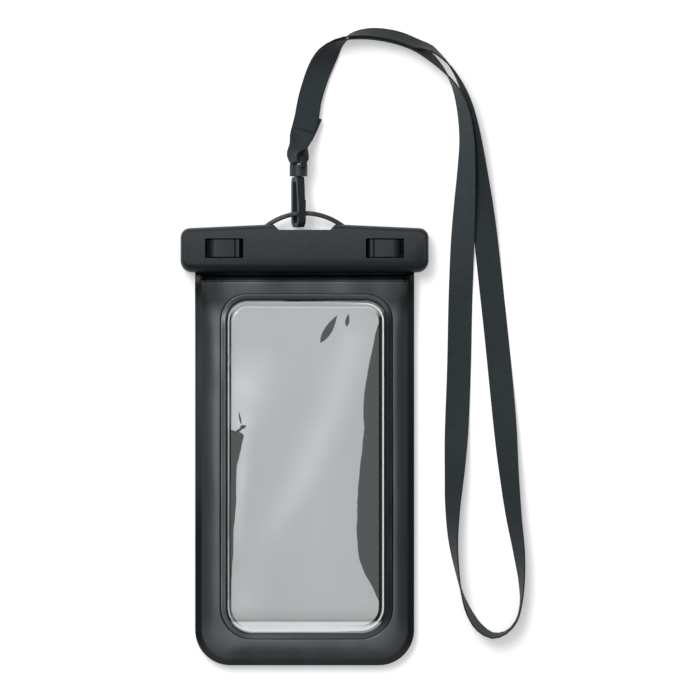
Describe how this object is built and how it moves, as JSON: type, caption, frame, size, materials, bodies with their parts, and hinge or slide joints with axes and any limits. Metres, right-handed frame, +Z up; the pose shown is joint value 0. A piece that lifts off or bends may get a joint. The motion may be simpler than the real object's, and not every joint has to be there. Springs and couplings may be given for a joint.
{
  "type": "waterproof phone pouch",
  "caption": "Flat waterproof pouch for a phone, with clear windows front and back, a lever-locked clamp across the mouth and a webbing neck lanyard on a swivel snap hook.",
  "frame": {"origin": "on the surface that the pouch lies on, under the middle of the pouch with its clamp and arch, without the clasp and the lanyard", "axes": "+Y along the pouch from the bottom weld towards the clamp and lanyard, +X to the right seen from the front, +Z up out of the front window"},
  "size_m": [0.1655, 0.3064, 0.0162],
  "materials": {
    "clamp_plastic": "satin moulded ABS",
    "lever_plastic": "satin moulded ABS",
    "pin_steel": "drawn wire",
    "seal_rubber": "matt",
    "border_vinyl": "soft satin vinyl",
    "clear_vinyl": "clear glossy film",
    "clasp_plastic": "moulded acetal",
    "webbing": "ribbed polyester webbing",
    "thread": "sewing thread"
  },
  "bodies": {
    "pouch": {"front_clamp_bar": "clamp_plastic", "rear_clamp_bar": "clamp_plastic", "front_seal_strip": "seal_rubber", "rear_seal_strip": "seal_rubber", "left_lock_pin": "pin_steel", "right_lock_pin": "pin_steel", "front_frame_sheet": "border_vinyl", "rear_frame_sheet": "border_vinyl", "front_window_film": "clear_vinyl", "rear_window_film": "clear_vinyl", "swivel_eye": "clasp_plastic", "lanyard_strap": "webbing", "bar_tack": "thread"},
    "left_lever": {"left_lock_lever": "lever_plastic"},
    "right_lever": {"right_lock_lever": "lever_plastic"},
    "hook": {"snap_hook": "clasp_plastic"}
  },
  "joints": [
    {"name": "left_lever_flip", "type": "hinge", "parent": "pouch", "child": "left_lever", "pos_m": [-0.0425, 0.0912, 0.0099], "axis": [0, -1, 0], "range_deg": [0, 95]},
    {"name": "right_lever_flip", "type": "hinge", "parent": "pouch", "child": "right_lever", "pos_m": [0.0425, 0.0912, 0.0099], "axis": [0, 1, 0], "range_deg": [0, 95]},
    {"name": "hook_swivel", "type": "hinge", "parent": "pouch", "child": "hook", "pos_m": [-0.0029, 0.126, 0.0082], "axis": [0, 1, 0], "range_deg": [-50, 10]}
  ]
}
